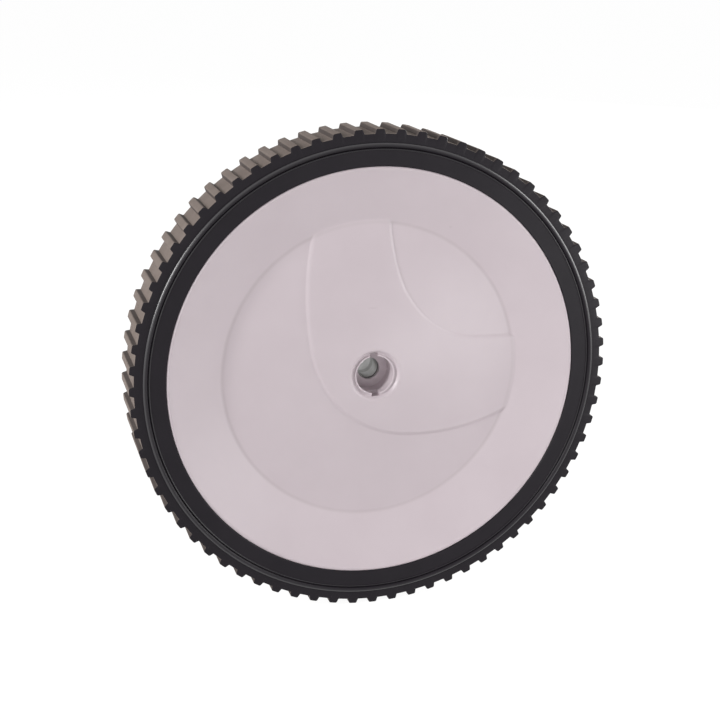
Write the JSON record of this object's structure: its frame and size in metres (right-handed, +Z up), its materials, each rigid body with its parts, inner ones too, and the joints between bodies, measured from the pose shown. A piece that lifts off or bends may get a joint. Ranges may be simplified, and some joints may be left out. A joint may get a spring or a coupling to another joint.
{
  "type": "lawn mower wheel",
  "caption": "Dished plastic mower wheel with a raised two-armed island, a black tyre with straight cross lugs and sealed ball bearings in its hub.",
  "frame": {"origin": "on the axle's axis, in the middle of the bearing bore", "axes": "+Y along the axle to the back of the wheel, face towards -Y, +Z up as in the picture"},
  "size_m": [0.23, 0.0383, 0.23],
  "materials": {
    "tyre_rubber": "satin black moulded rubber, greyer on the tread",
    "disc_plastic": "pale warm grey moulded plastic, fine matt grain",
    "spacer_steel": "turned steel sleeve",
    "ring_steel": "ground bearing steel",
    "ball_steel": "polished bearing steel",
    "cage_plastic": "moulded polyamide",
    "seal_rubber": "matt black seal rubber"
  },
  "bodies": {
    "axle_side": {"front_bearing_inner_ring": "ring_steel", "rear_bearing_inner_ring": "ring_steel", "bearing_spacer": "spacer_steel"},
    "wheel": {"wheel_disc": "disc_plastic", "tyre": "tyre_rubber", "front_bearing_outer_ring": "ring_steel", "rear_bearing_outer_ring": "ring_steel", "front_bearing_front_seal": "seal_rubber", "front_bearing_rear_seal": "seal_rubber", "rear_bearing_front_seal": "seal_rubber", "rear_bearing_rear_seal": "seal_rubber"},
    "front_balls": {"front_bearing_balls": "ball_steel", "front_bearing_cage": "cage_plastic"},
    "rear_balls": {"rear_bearing_balls": "ball_steel", "rear_bearing_cage": "cage_plastic"}
  },
  "joints": [
    {"name": "wheel_spin", "type": "hinge", "parent": "axle_side", "child": "wheel", "pos_m": [0, 0, 0], "axis": [0, 1, 0], "continuous": true},
    {"name": "front_balls_roll", "type": "hinge", "parent": "axle_side", "child": "front_balls", "pos_m": [0, 0, 0], "axis": [0, 1, 0], "continuous": true},
    {"name": "rear_balls_roll", "type": "hinge", "parent": "axle_side", "child": "rear_balls", "pos_m": [0, 0, 0], "axis": [0, 1, 0], "continuous": true}
  ],
  "couplings": [
    {"joint": "front_balls_roll", "follows": "wheel_spin", "ratio": 0.63222},
    {"joint": "rear_balls_roll", "follows": "wheel_spin", "ratio": 0.63222}
  ]
}
